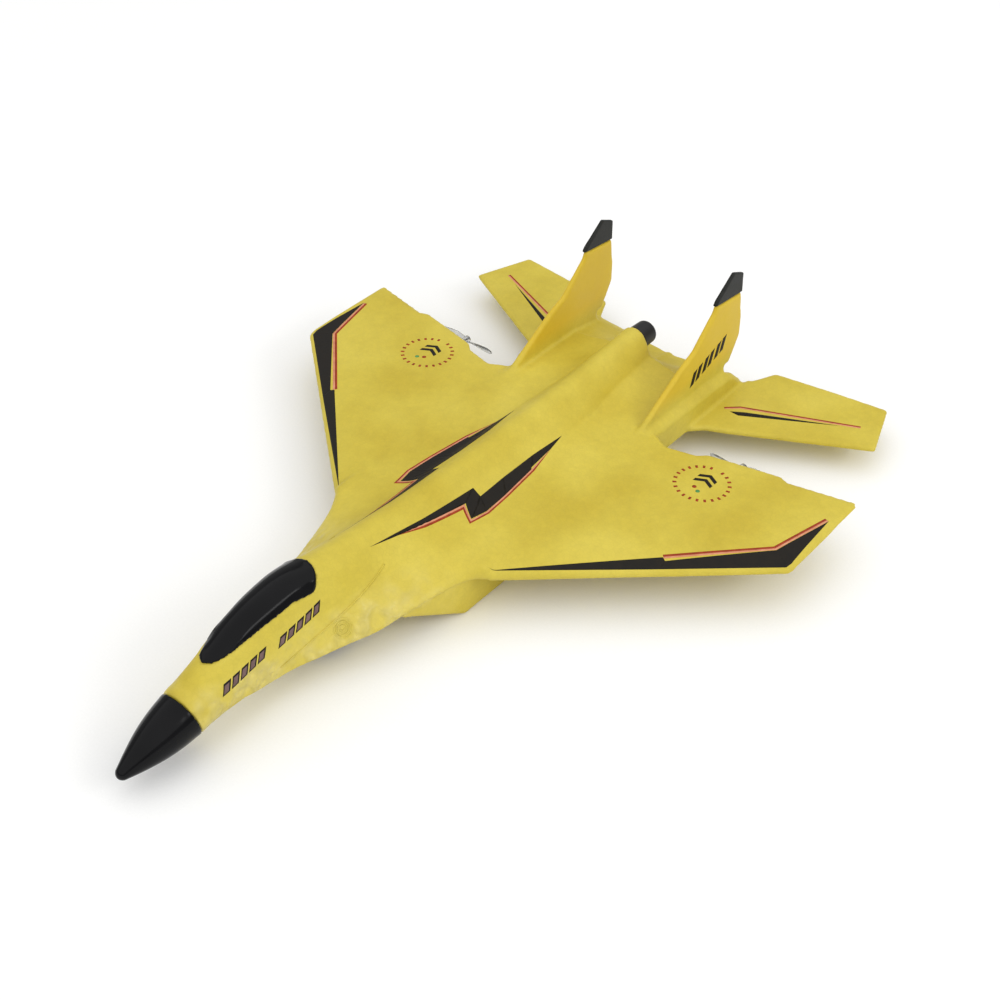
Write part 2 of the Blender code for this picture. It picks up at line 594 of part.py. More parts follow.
def make_spars():
    cylinder("wing_spar", (-SPAR_HALF, SPAR_Y, SPAR_Z), (SPAR_HALF, SPAR_Y, SPAR_Z), SPAR_R, CARBON, sides=16)
    half = TAIL_SPAR_HALF
    cylinder("tail_spar", (-half, TAIL_SPAR_Y, TAIL_Z), (half, TAIL_SPAR_Y, TAIL_Z), TAIL_SPAR_R, CARBON,
             sides=12)


# ---------------------------------------------------------------- motors and propellers

def lead_route(side, offset):
    """Motor lead from the motor's front end, along a groove under the wing, to the equipment bay."""
    key = [(94.0, 96.9, 20.0), (94.0, 92.5, 21.6), (93.2, 86.0, 25.6), (89.5, 76.0, 26.7), (78.5, 48.0, 25.5),
           (66.0, 20.0, 24.4), (56.0, 0.0, 24.3), (49.0, -14.0, 24.1), (40.0, -20.0, 24.0),
           (26.0, -21.0, 24.0), (13.0, -22.0, 24.4), (8.6, -25.5, 25.2), (7.6, -31.0, 25.7),
           (7.6, -36.6, 25.8)]
    path = curved(key, 2)
    moved = []
    for i, point in enumerate(path):
        run = path[min(i + 1, len(path) - 1)] - path[max(i - 1, 0)]
        sideways = Vector((-run.y, run.x, 0.0)).normalized() * offset
        moved.append((side * (point.x + sideways.x), point.y + sideways.y, point.z))
    return moved


def make_motor(side, tag):
    x, z = side * MOTOR_X, MOTOR_Z
    can = cylinder("motor_" + tag, (x, MOTOR_Y0 + 2.2, z), (x, MOTOR_Y1, z), MOTOR_R, MOTOR_SHELL, sides=32)
    cut(can, cylinder("can_bore_" + tag, (x, MOTOR_Y0, z), (x, MOTOR_Y1 + 3, z), SHAFT_R + 0.3, cutter=True,
                      sides=16))
    end = cylinder("motor_end_" + tag, (x, MOTOR_Y0, z), (x, MOTOR_Y0 + 1.9, z), MOTOR_R - 0.15,
                   WHITE_PLASTIC, sides=32)
    cylinder("motor_shaft_" + tag, (x, MOTOR_Y0 + 2.6, z), (x, SHAFT_END, z), SHAFT_R, STEEL, sides=16)
    sleeve = cylinder("motor_mount_" + tag, (x, MOTOR_Y0 + 0.6, z), (x, MOTOR_Y1 - 1.0, z), MOTOR_R + 1.5,
                      SATIN_BLACK, sides=32)
    wedge = [(88.0, 24.7), (88.0, 26.2), (110.5, 27.5), (110.5, 24.7)]
    boolean(sleeve, prism("saddle_" + tag, wedge, x - 7.0, x + 7.0, "X", cutter=True), "UNION")
    boolean(sleeve, box("pylon_" + tag, (x - 2.4, 98.6, z), (x + 2.4, 110.5, 26.0), cutter=True), "UNION")
    cut(sleeve, cylinder("mount_bore_" + tag, (x, 80.0, z), (x, 130.0, z), MOTOR_R + GAP, cutter=True,
                         sides=32))
    cut(sleeve, box("mount_front_" + tag, (x - 2.2, 80.0, 17.0), (x + 2.2, 97.0, 30.0), cutter=True))
    return can, end, sleeve


def blade_points(side, end):
    """Rings of one propeller blade from hub to tip: chord, twist and thickness follow simple curves."""
    rings = []
    for share in np.linspace(0.0, 1.0, 9):
        radius = 1.6 + (PROP_R - 1.6) * share
        chord = 2.6 + 4.4 * math.sin(math.pi * min(1.0, 0.18 + share * 0.72))
        chord *= 1.0 if share < 0.97 else 0.55
        twist = math.radians(58.0 - 44.0 * share ** 0.7)
        thick = 1.15 - 0.75 * share
        ring = []
        for angle in np.radians(np.arange(0.0, 360.0, 36.0)):
            a, b = chord / 2 * math.cos(angle), thick / 2 * math.sin(angle)
            across = a * math.cos(twist) - b * math.sin(twist)
            back = a * math.sin(twist) + b * math.cos(twist)
            ring.append((end * radius, back * side * end, across))
        rings.append(ring)
    return rings


def make_propeller(side, tag):
    x = side * MOTOR_X
    hub = cylinder("propeller_" + tag, (x, PROP_Y - HUB_LENGTH / 2, MOTOR_Z),
                   (x, PROP_Y + HUB_LENGTH / 2, MOTOR_Z), HUB_R, CLEAR_GREY, sides=24, end_radius=HUB_R * 0.8)
    for end in (1, -1):
        rings = [[(x + px, PROP_Y + py, MOTOR_Z + pz) for px, py, pz in ring]
                 for ring in blade_points(side, end)]
        blade = loft("blade_%s_%d" % (tag, end + 1), rings, cutter=True)
        boolean(hub, blade, "UNION")
    cut(hub, cylinder("hub_bore_" + tag, (x, PROP_Y - 6, MOTOR_Z), (x, PROP_Y + 6, MOTOR_Z), SHAFT_R + 0.06,
                      cutter=True, sides=16))
    return hub


# ---------------------------------------------------------------- equipment bay

def make_tub():
    tub = box("equipment_tub", (-BAY_X, BAY_Y0, BELLY_Z + 0.2), (BAY_X, BAY_Y1, BAY_TOP), SATIN_BLACK)
    flange = box("tub_flange", (-FLANGE_X, FLANGE_Y0, BELLY_Z), (FLANGE_X, FLANGE_Y1, BELLY_Z + FLANGE_T),
                 cutter=True)
    boolean(tub, flange, "UNION")
    hollow = box("tub_hollow", (-BAY_X + TUB_WALL, BAY_Y0 + TUB_WALL, -5.0),
                 (BAY_X - TUB_WALL, BAY_Y1 - TUB_WALL, BAY_TOP - TUB_WALL), cutter=True)
    cut(tub, hollow)
    for sign in (-1, 1):
        cut(tub, box("lead_hole_%d" % (sign + 1), (sign * 7.6 - 1.8, -40.0, 24.2),
                     (sign * 7.6 + 1.8, -30.0, 27.6), cutter=True))
        ear = box("hinge_ear_%d" % (sign + 1), (sign * 8.4 - 1.4, HINGE_Y - 1.5, HINGE_Z - 1.5),
                  (sign * 8.4 + 1.4, HINGE_Y + 1.5, BELLY_Z + 0.4), cutter=True)
        boolean(tub, ear, "UNION")
    cut(tub, cylinder("ear_bore", (-14.0, HINGE_Y, HINGE_Z), (14.0, HINGE_Y, HINGE_Z), PIN_R + 0.06,
                      cutter=True, sides=16))
    return tub


def make_door():
    door = box("battery_door", (-DOOR_X, DOOR_Y0, DOOR_Z), (DOOR_X, DOOR_Y1, DOOR_Z + DOOR_T), SATIN_BLACK,
               bevel=0.4)
    for piece in (
        box("door_arm", (-6.4, HINGE_Y, DOOR_Z), (6.4, DOOR_Y0 + 2.0, DOOR_Z + 1.0), cutter=True),
        cylinder("door_knuckle", (-6.4, HINGE_Y, HINGE_Z), (6.4, HINGE_Y, HINGE_Z), 1.4, cutter=True,
                 sides=20),
        box("door_tongue", (-4.0, DOOR_Y1 - 3.4, DOOR_Z + 0.6), (4.0, DOOR_Y1 - 2.4, BELLY_Z + 3.0),
            cutter=True),
    ):
        boolean(door, piece, "UNION")
    for k in range(4):
        y = DOOR_Y1 - 14.0 + 2.4 * k
        cut(door, box("grip_%d" % k, (-6.0, y, DOOR_Z - 1.0), (6.0, y + 1.0, DOOR_Z + 0.4), cutter=True))
    cut(door, cylinder("knuckle_bore", (-14.0, HINGE_Y, HINGE_Z), (14.0, HINGE_Y, HINGE_Z), PIN_R + 0.06,
                       cutter=True, sides=16))
    cylinder("door_hinge_pin", (-9.7, HINGE_Y, HINGE_Z), (9.7, HINGE_Y, HINGE_Z), PIN_R, STEEL, sides=16)
    return door


def make_panel():
    z0, z1 = DOOR_Z, DOOR_Z + DOOR_T
    panel = box("switch_panel", (-DOOR_X, PANEL_Y0, z0), (DOOR_X, PANEL_Y1, z1), SATIN_BLACK, bevel=0.4)
    cut(panel, box("slider_slot", (-1.6, SWITCH_Y - 3.6, z0 - 2), (1.6, SWITCH_Y + 3.6, z1 + 2), cutter=True))
    cut(panel, box("socket_window", (-3.4, SOCKET_Y - 2.4, z0 - 2), (3.4, SOCKET_Y + 2.4, z1 + 2),
                   cutter=True))
    for k, (x, y) in enumerate(PANEL_SCREWS):
        cut(panel, cylinder("panel_hole_%d" % k, (x, y, z0 - 2), (x, y, z1 + 2), 1.0, cutter=True, sides=16))
    body = box("power_switch", (-2.2, SWITCH_Y - 4.4, z1 + GAP), (2.2, SWITCH_Y + 4.4, z1 + 4.4), STEEL)
    cut(body, box("switch_well", (-1.4, SWITCH_Y - 3.4, z1 - 2), (1.4, SWITCH_Y + 3.4, z1 + 2.4),
                  cutter=True))
    box("power_slider", (-1.0, SWITCH_Y - 2.9, z0 - 1.0), (1.0, SWITCH_Y - 0.5, z1 + 2.0), WHITE_PLASTIC,
        bevel=0.15)
    socket = box("charge_socket", (-3.0, SOCKET_Y - 2.0, z0 + 0.2), (3.0, SOCKET_Y + 2.0, z1 + 5.4),
                 WHITE_PLASTIC)
    for sign in (-1, 1):
        cut(socket, box("socket_way_%d" % (sign + 1), (sign * 1.4 - 0.9, SOCKET_Y - 1.1, z0 - 2),
                        (sign * 1.4 + 0.9, SOCKET_Y + 1.1, z1 + 3.4), cutter=True))
    return panel


def make_screws():
    """Two pan-head screws that hold the panel to the tub's flange."""
    for k, (x, y) in enumerate(PANEL_SCREWS):
        screw = cylinder("panel_screw_%d" % (k + 1), (x, y, DOOR_Z - 0.3), (x, y, DOOR_Z - 1.2), 1.7, STEEL,
                         sides=20, end_radius=1.3)
        shank = cylinder("screw_shank_%d" % k, (x, y, DOOR_Z - 0.5), (x, y, 6.6), 0.7, cutter=True, sides=16)
        boolean(screw, shank, "UNION")
        for turn in (0, 1):
            size = (1.1, 0.22) if turn else (0.22, 1.1)
            cut(screw, box("screw_cross_%d_%d" % (k, turn), (x - size[0], y - size[1], 2.0),
                           (x + size[0], y + size[1], DOOR_Z - 0.75), cutter=True))


def make_electronics():
    low, high = BATTERY
    battery = box("battery", low, high, FOIL, bevel=1.6)
    lip = box("battery_lip", (-8.0, high[1] - 1.0, high[2] - 3.0), (8.0, high[1] + 1.8, high[2] - 2.2),
              cutter=True)
    boolean(battery, lip, "UNION")
    low, high = BOARD
    board = box("receiver_board", low, high, BOARD_GREEN)
    for k, ((x0, y0), (x1, y1), h) in enumerate(CHIPS):
        boolean(board, box("chip_%d" % k, (x0, y0, low[2] - h), (x1, y1, low[2] + 0.3), cutter=True), "UNION")
    box("battery_plug", (-7.6, -57.2, high[2] + GAP), (-3.0, -51.6, high[2] + 3.6), WHITE_PLASTIC, bevel=0.3)
    route = [(-5.3, -59.6, 24.3), (-5.3, -58.8, 24.6), (-5.3, -58.0, 25.0), (-5.3, -57.5, 25.2)]
    tube("battery_lead", route, 0.7, RED_WIRE)
    antenna = [(6.8, -40.0, 23.9), (7.4, -45.0, 24.6), (7.2, -52.0, 25.2), (6.8, -60.0, 27.6),
               (6.6, -66.0, 28.0)]
    tube("antenna_wire", curved(antenna, 4), 0.4, BLACK_WIRE)


def make_leads():
    for side, tag in ((1, "left"), (-1, "right")):
        for color, mat, offset in (("red", RED_WIRE, -0.75), ("black", BLACK_WIRE, 0.75)):
            route = lead_route(side, offset)
            tube("motor_lead_%s_%s" % (color, tag), route[:-1], LEAD_R, mat)


def main():
    make_fuselage()
    make_canopy()
    make_nose_cone()
    make_tail_cap()
    make_spars()
    for side, tag in ((1, "left"), (-1, "right")):
        make_wing(side, tag)
        make_tailplane(side, tag)
        make_fin(side, tag)
        make_nacelle(side, tag)
        make_motor(side, tag)
        make_propeller(side, tag)
    make_tub()
    make_door()
    make_panel()
    make_screws()
    make_electronics()
    make_leads()


main()
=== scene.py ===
"""Looks of the foam jet glider: skins, finishes, markings, floor, light and camera."""
import json
import math

import bpy
import numpy as np
from mathutils import Matrix, Vector


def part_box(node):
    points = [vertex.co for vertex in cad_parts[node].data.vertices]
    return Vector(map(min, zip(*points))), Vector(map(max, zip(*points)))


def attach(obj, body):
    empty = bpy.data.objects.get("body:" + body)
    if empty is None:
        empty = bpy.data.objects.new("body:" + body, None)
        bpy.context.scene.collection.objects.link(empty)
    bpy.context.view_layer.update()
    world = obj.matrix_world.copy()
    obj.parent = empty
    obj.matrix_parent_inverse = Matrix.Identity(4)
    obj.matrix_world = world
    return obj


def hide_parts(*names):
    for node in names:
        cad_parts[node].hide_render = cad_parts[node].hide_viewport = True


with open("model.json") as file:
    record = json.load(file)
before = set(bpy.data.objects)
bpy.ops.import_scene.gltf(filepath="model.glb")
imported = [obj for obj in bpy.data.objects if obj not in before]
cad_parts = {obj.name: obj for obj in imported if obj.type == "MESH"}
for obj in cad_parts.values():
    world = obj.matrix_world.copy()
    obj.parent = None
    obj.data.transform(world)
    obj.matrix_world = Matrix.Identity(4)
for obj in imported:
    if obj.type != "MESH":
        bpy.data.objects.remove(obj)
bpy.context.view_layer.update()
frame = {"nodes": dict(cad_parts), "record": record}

MM = 0.001
BODIES = frame["record"]["behaviour"]["bodies"]
BODY_OF = {node: body for body, nodes in BODIES.items() for node in nodes}

# Camera: where it stands, the directions of its right, up and back, and its lens on a 36 mm sensor
CAMERA_AT = (0.4376, -0.4939, 0.5660)
CAMERA_RIGHT = (0.7728, 0.6347, 0.0)
CAMERA_UP = (-0.4015, 0.4888, 0.7746)
CAMERA_BACK = (0.4916, -0.5985, 0.6325)
CAMERA_LENS = 61.2

# Light: a white sky, a wide lamp overhead, and a softbox that draws the highlight along glossy parts
SKY_STRENGTH = 0.47
LAMP_STRENGTH, LAMP_WIDTH, LAMP_FROM = 1.85, math.radians(125.0), (0.12, -0.18, 1.0)
SOFTBOX_AT, SOFTBOX_TO, SOFTBOX_SIZE, SOFTBOX_POWER = (1.25, 0.22, 0.92), (0.0, -0.13, 0.05), (1.0, 0.36), 4.2
FLOOR_SIZE = 12.0

# Surface scales from the real article
BEAD = 2.4 * MM              # foam beads, drawn a little coarser than real ones so that they show
MOULD_GRAIN = 0.42 * MM      # grain of moulded plastic, drawn coarser than real so that it shows
SLEEVE_GRAIN = 1.1 * MM      # the same on a wire's sleeve
BOARD_T = 1.2 * MM           # the receiver board without its chips
FILM = 0.05 * MM             # thickness of a printed marking
ROOT = 0.03 * MM             # how deep a marking's underside sinks into the skin

# Mesh spacings, and the most triangles that a shell may have
SKIN_GRID = 1.15 * MM
HARD_GRID = 0.5 * MM
CAP_GRID = 0.35 * MM
BLADE_GRID = 0.25 * MM
FILM_GRID = 1.0 * MM
MOST_TRIANGLES = 190000

# How far a shell stands proud of its CAD solid
FOAM_SWELL = 0.12 * MM       # closes the joints between pieces of foam
CANOPY_SWELL = 0.85 * MM     # laps the canopy over the foam's edge

# Creases sharper than this, in degrees, stay sharp
HARD_EDGE, ROD_EDGE, WIRE_EDGE = 32.0, 40.0, 60.0

# Foam colours: three steps of the uneven yellow, the fins' deeper one, and the paler yellow of a painted
# sheen on the glossy skin
FOAM_DARK, FOAM_MID, FOAM_LIGHT = "#c4ae34", "#ccb83f", "#d3c049"
FOAM_FIN, FOAM_PAINTED_SHEEN = "#dab524", "#e2d27c"

# Where the foam changes, each as the place where it starts and the place where it is complete
FIN_FOOT = (34.5 * MM, 43.0 * MM)        # height over which the deck's yellow becomes the fins'
FIN_INNER = (36.0 * MM, 40.0 * MM)       # distance from the middle where the fins stand
GLOSS_AND_PAINTED_SHEEN_FRONT = (-40.0 * MM, -75.0 * MM)  # glossy skin with a painted sheen, going forwards
GLOSS_AND_PAINTED_SHEEN_LOW = (36.0 * MM, 28.0 * MM)      # glossy skin with a painted sheen, going down

# The small round mould mark on each side: its centre on the left, its rings' spacing and its radius
MARK_AT, MARK_PITCH, MARK_EDGE = (20.3 * MM, -100.2 * MM, 25.0 * MM), 1.8 * MM, (5.2 * MM, 4.4 * MM)

# Leading edge of the left wing in plan, in millimetres, for markings that follow it
EDGE_START, EDGE_END = Vector((50.0, -31.6)), Vector((160.0, 62.6))

FOAM = ("fuselage_foam", "wing_left", "wing_right", "intake_scoop_left", "intake_scoop_right",
        "nacelle_left", "nacelle_right", "tailplane_left", "tailplane_right", "fin_left", "fin_right")


# ------------------------------------------------------------------ materials

def linear(code):
    """An sRGB hex colour as linear RGBA."""
    values = [int(code[i:i + 2], 16) / 255 for i in (1, 3, 5)]
    return tuple(v / 12.92 if v <= 0.04045 else ((v + 0.055) / 1.055) ** 2.4 for v in values) + (1.0,)


def node(tree, kind, inputs=None, stops=(), **settings):
    """Adds a node: inputs are values or sockets that feed them, stops are a ramp's, the rest its settings."""
    made = tree.nodes.new(kind)
    for key, value in settings.items():
        setattr(made, key, value)
    for key, value in (inputs or {}).items():
        if isinstance(value, bpy.types.NodeSocket):
            tree.links.new(value, made.inputs[key])
        else:
            made.inputs[key].default_value = value
    for k, (position, colour) in enumerate(stops):
        if k == len(made.color_ramp.elements):
            made.color_ramp.elements.new(position)
        element = made.color_ramp.elements[k]
        element.position = position
        element.color = linear(colour) if isinstance(colour, str) else (colour, colour, colour, 1.0)
    return made


def blank(name):
    """A new material: itself, its node tree and the Object coordinates that its patterns stand on."""
    mat = bpy.data.materials.new(name)
    mat.use_nodes = True
    return mat, mat.node_tree, node(mat.node_tree, "ShaderNodeTexCoord").outputs["Object"]


def surface(tree, colour, roughness, bumps, **values):
    """Finishes a material: colour, roughness, reliefs (height, strength, depth) and the shader's values."""
    shader = tree.nodes["Principled BSDF"]
    for key, value in values.items():
        shader.inputs[key.replace("_", " ")].default_value = value
    tree.links.new(colour, shader.inputs["Base Color"])
    tree.links.new(roughness, shader.inputs["Roughness"])
    relief = None
    for height, strength, depth in bumps:
        inputs = {"Height": height, "Strength": strength, "Distance": depth}
        if relief:
            inputs["Normal"] = relief
        relief = node(tree, "ShaderNodeBump", inputs).outputs[0]
    tree.links.new(relief, shader.inputs["Normal"])


def moulded_epp():
    """Expanded polypropylene from a steam mould: satin, beads just visible, colour in slow clouds."""
    mat, tree, place = blank("moulded_yellow_epp_foam")
    split = node(tree, "ShaderNodeSeparateXYZ", {0: place}).outputs
    side = node(tree, "ShaderNodeMath", {0: split["X"]}, operation="ABSOLUTE").outputs[0]
    mirrored = node(tree, "ShaderNodeCombineXYZ", {"X": side, "Y": split["Y"], "Z": split["Z"]}).outputs[0]

    # colour: slow clouds of three yellows, a faint speckle, each bead its own tone, and seams between beads
    cloud = node(tree, "ShaderNodeTexNoise",
                 {"Vector": place, "Scale": 1 / (42 * MM), "Detail": 3.0}).outputs[0]
    speck = node(tree, "ShaderNodeTexNoise",
                 {"Vector": place, "Scale": 1 / (4.8 * MM), "Detail": 2.0}).outputs[0]
    edge = node(tree, "ShaderNodeTexVoronoi", {"Vector": place, "Scale": 1 / BEAD},
                feature="DISTANCE_TO_EDGE").outputs["Distance"]
    cell = node(tree, "ShaderNodeTexVoronoi", {"Vector": place, "Scale": 1 / BEAD}).outputs["Color"]
    base = node(tree, "ShaderNodeValToRGB", {0: cloud},
                ((0.33, FOAM_DARK), (0.5, FOAM_MID), (0.67, FOAM_LIGHT))).outputs[0]
    tone = node(tree, "ShaderNodeSeparateColor", {0: cell}).outputs[0]
    shading = ((speck, 0.3, 0.65, 0.95), (tone, 0.0, 1.0, 0.972), (edge, 0.0, 0.09, 0.95))
    for feed, low, high, least in shading:
        shade = node(tree, "ShaderNodeValToRGB", {0: feed}, ((low, least), (high, 1.0))).outputs[0]
        base = node(tree, "ShaderNodeMix", {0: 1.0, 6: base, 7: shade},
                    data_type="RGBA", blend_type="MULTIPLY").outputs[2]

    # the fins come from a deeper-coloured moulding
    high = node(tree, "ShaderNodeMapRange",
                {"Value": split["Z"], "From Min": FIN_FOOT[0], "From Max": FIN_FOOT[1]}).outputs[0]
    out = node(tree, "ShaderNodeMapRange", {"Value": side, "From Min": FIN_INNER[0], "From Max": FIN_INNER[1],
                                            "To Max": 0.6}).outputs[0]
    fin = node(tree, "ShaderNodeMath", {0: high, 1: out}, operation="MULTIPLY").outputs[0]
    base = node(tree, "ShaderNodeMix", {0: fin, 6: base, 7: linear(FOAM_FIN)}, data_type="RGBA").outputs[2]

    # skin glossy on the forebody's lower flank and on the leading-edge extension, and painted paler there as
    # a painted sheen
    front = node(tree, "ShaderNodeMapRange",
                 {"Value": split["Y"], "From Min": GLOSS_AND_PAINTED_SHEEN_FRONT[0], "From Max": GLOSS_AND_PAINTED_SHEEN_FRONT[1]}).outputs[0]
    low = node(tree, "ShaderNodeMapRange",
               {"Value": split["Z"], "From Min": GLOSS_AND_PAINTED_SHEEN_LOW[0], "From Max": GLOSS_AND_PAINTED_SHEEN_LOW[1]}).outputs[0]
    patch = node(tree, "ShaderNodeTexNoise",
                 {"Vector": place, "Scale": 1 / (10.5 * MM), "Detail": 1.0}).outputs[0]
    gloss_and_painted_sheen = node(tree, "ShaderNodeValToRGB", {0: patch}, ((0.4, 0.25), (0.6, 1.0))).outputs[0]
    for share in (front, low):
        gloss_and_painted_sheen = node(tree, "ShaderNodeMath", {0: gloss_and_painted_sheen, 1: share}, operation="MULTIPLY").outputs[0]
    # painted sheen: the glossy patch is painted paler, standing in for its highlights
    painted_sheen = node(tree, "ShaderNodeMath", {0: gloss_and_painted_sheen, 1: 0.55}, operation="MULTIPLY").outputs[0]
    base = node(tree, "ShaderNodeMix", {0: painted_sheen, 6: base, 7: linear(FOAM_PAINTED_SHEEN)},
                data_type="RGBA").outputs[2]
    # painted shade: the crumple's creases on the glossy patch are painted darker, on top of their real relief
    crumple_and_painted_shade = node(tree, "ShaderNodeTexVoronoi", {"Vector": place, "Scale": 1 / (3.85 * MM)},
                  feature="SMOOTH_F1").outputs[0]
    crumple_and_painted_shade = node(tree, "ShaderNodeMath", {0: crumple_and_painted_shade, 1: gloss_and_painted_sheen}, operation="MULTIPLY").outputs[0]
    shade = node(tree, "ShaderNodeValToRGB", {0: crumple_and_painted_shade}, ((0.12, 1.0), (0.55, 0.84))).outputs[0]
    base = node(tree, "ShaderNodeMix", {0: 1.0, 6: base, 7: shade},
                data_type="RGBA", blend_type="MULTIPLY").outputs[2]
    dull = node(tree, "ShaderNodeValToRGB", {0: patch}, ((0.3, 0.50), (0.7, 0.60))).outputs[0]
    rough = node(tree, "ShaderNodeMix", {0: gloss_and_painted_sheen, 6: dull, 7: (0.28, 0.28, 0.28, 1.0)},
                 data_type="RGBA").outputs[2]

    # relief: pits, bead seams, the crumple of the glossy skin, and one small round mould mark on each side
    pit = node(tree, "ShaderNodeTexNoise",
               {"Vector": place, "Scale": 1 / (0.385 * MM), "Detail": 2.0}).outputs[0]
    seam = node(tree, "ShaderNodeValToRGB", {0: edge}, ((0.0, 0.0), (0.16, 1.0))).outputs[0]
    away = node(tree, "ShaderNodeVectorMath", {0: mirrored, 1: MARK_AT},
                operation="DISTANCE").outputs["Value"]
    turns = node(tree, "ShaderNodeMath", {0: away, 1: 2 * math.pi / MARK_PITCH},
                 operation="MULTIPLY").outputs[0]
    wave = node(tree, "ShaderNodeMath", {0: turns}, operation="SINE").outputs[0]
    inside = node(tree, "ShaderNodeMapRange",
                  {"Value": away, "From Min": MARK_EDGE[0], "From Max": MARK_EDGE[1]}).outputs[0]
    wave = node(tree, "ShaderNodeMath", {0: wave, 1: inside}, operation="MULTIPLY").outputs[0]
    reliefs = ((pit, 0.12, 0.05 * MM), (seam, 0.35, 0.07 * MM), (crumple_and_painted_shade, 1.0, 2.0 * MM),
               (wave, 0.9, 0.3 * MM))
    surface(tree, base, rough, reliefs, IOR=1.49, Specular_IOR_Level=0.35, Subsurface_Weight=0.06,
            Subsurface_Radius=(0.9 * MM, 0.7 * MM, 0.25 * MM))
    return mat


def glossy_polystyrene():
    """Injection-moulded black polystyrene: near-mirror gloss, slightly wavy, with faint rub marks."""
    mat, tree, place = blank("gloss_black_polystyrene")
    flow = node(tree, "ShaderNodeTexNoise",
                {"Vector": place, "Scale": 1 / (16.7 * MM), "Detail": 1.0}).outputs[0]
    rub = node(tree, "ShaderNodeTexNoise",
               {"Vector": place, "Scale": 1 / (2.4 * MM), "Detail": 4.0}).outputs[0]
    colour = node(tree, "ShaderNodeValToRGB", {0: flow}, ((0.3, "#08080a"), (0.7, "#0d0d0f"))).outputs[0]
    rough = node(tree, "ShaderNodeValToRGB", {0: rub}, ((0.35, 0.10), (0.75, 0.20))).outputs[0]
    surface(tree, colour, rough, ((flow, 0.12, 0.2 * MM),), IOR=1.59, Specular_IOR_Level=0.11)
    return mat


def grained_plastic(name, light, dark, roughness, grain_size, depth):
    """Plastic from a spark-eroded mould: an even grain that breaks the highlights into a satin sheen."""
    mat, tree, place = blank(name)
    grain = node(tree, "ShaderNodeTexNoise",
                 {"Vector": place, "Scale": 1 / grain_size, "Detail": 3.0}).outputs[0]
    tone = node(tree, "ShaderNodeTexNoise",
                {"Vector": place, "Scale": 1 / (11 * MM), "Detail": 2.0}).outputs[0]
    colour = node(tree, "ShaderNodeValToRGB", {0: tone}, ((0.35, dark), (0.65, light))).outputs[0]
    rough = node(tree, "ShaderNodeValToRGB", {0: tone},
                 ((0.3, roughness - 0.05), (0.7, roughness + 0.06))).outputs[0]
    surface(tree, colour, rough, ((grain, 0.3, depth),), IOR=1.54, Specular_IOR_Level=0.35)
    return mat


def film_on_foam(name, light, dark, roughness):
    """Paint or printing ink on foam: matt, uneven in tone, with the beads showing through it."""
    mat, tree, place = blank(name)
    edge = node(tree, "ShaderNodeTexVoronoi", {"Vector": place, "Scale": 1 / BEAD},
                feature="DISTANCE_TO_EDGE").outputs["Distance"]
    tone = node(tree, "ShaderNodeTexNoise",
                {"Vector": place, "Scale": 1 / (3.85 * MM), "Detail": 3.0}).outputs[0]
    colour = node(tree, "ShaderNodeValToRGB", {0: tone}, ((0.32, dark), (0.68, light))).outputs[0]
    rough = node(tree, "ShaderNodeValToRGB", {0: tone},
                 ((0.3, roughness - 0.05), (0.7, roughness + 0.07))).outputs[0]
    seam = node(tree, "ShaderNodeValToRGB", {0: edge}, ((0.0, 0.0), (0.16, 1.0))).outputs[0]
    surface(tree, colour, rough, ((seam, 0.3, 0.06 * MM),), IOR=1.48, Specular_IOR_Level=0.22)
    return mat


def smoky_polycarbonate():
    """Thin clear polycarbonate with a grey tint: see-through, with flow lines that bend the light."""
    mat, tree, place = blank("smoky_clear_polycarbonate")
    flow = node(tree, "ShaderNodeTexNoise",
                {"Vector": place, "Scale": 1 / (4.2 * MM), "Detail": 2.0}).outputs[0]
    colour = node(tree, "ShaderNodeValToRGB", {0: flow}, ((0.3, "#d8dade"), (0.7, "#e6e8ea"))).outputs[0]
    rough = node(tree, "ShaderNodeValToRGB", {0: flow}, ((0.3, 0.10), (0.7, 0.20))).outputs[0]
    surface(tree, colour, rough, ((flow, 0.1, 0.1 * MM),), IOR=1.58, Transmission_Weight=0.94)
    return mat


def drawn_metal(name, colour, roughness, stretch):
    """Turned, drawn or plated metal: fine lines that stretch the highlights, and a slight tarnish."""
    mat, tree, place = blank(name)
    # the lines are drawn coarser than real ones so that they show
    lines = node(tree, "ShaderNodeMapping", {"Vector": place, "Scale": stretch}).outputs[0]
    grain = node(tree, "ShaderNodeTexNoise",
                 {"Vector": lines, "Scale": 1 / (0.67 * MM), "Detail": 3.0}).outputs[0]
    tone = node(tree, "ShaderNodeTexNoise",
                {"Vector": place, "Scale": 1 / (5.6 * MM), "Detail": 3.0}).outputs[0]
    dull = node(tree, "ShaderNodeValToRGB", {0: tone}, ((0.3, 0.86), (0.7, 1.0))).outputs[0]
    base = node(tree, "ShaderNodeMix", {0: 1.0, 6: linear(colour), 7: dull},
                data_type="RGBA", blend_type="MULTIPLY").outputs[2]
    rough = node(tree, "ShaderNodeValToRGB", {0: grain},
                 ((0.3, roughness - 0.07), (0.7, roughness + 0.08))).outputs[0]
    surface(tree, base, rough, ((grain, 0.15, 0.02 * MM),), Metallic=1.0)
    return mat


def pultruded_carbon():
    """Pultruded carbon rod: dark resin with fibres along the span that catch the light as streaks."""
    mat, tree, place = blank("pultruded_carbon_rod")
    # the fibres are drawn as bundles, because single ones are too fine to show
    along = node(tree, "ShaderNodeMapping", {"Vector": place, "Scale": (0.02, 1.0, 1.0)}).outputs[0]
    fibre = node(tree, "ShaderNodeTexNoise",
                 {"Vector": along, "Scale": 1 / (0.19 * MM), "Detail": 3.0}).outputs[0]
    colour = node(tree, "ShaderNodeValToRGB", {0: fibre}, ((0.35, "#101012"), (0.65, "#2a2a2d"))).outputs[0]
    rough = node(tree, "ShaderNodeValToRGB", {0: fibre}, ((0.3, 0.3), (0.7, 0.45))).outputs[0]
    surface(tree, colour, rough, ((fibre, 0.25, 0.03 * MM),), IOR=1.55)
    return mat


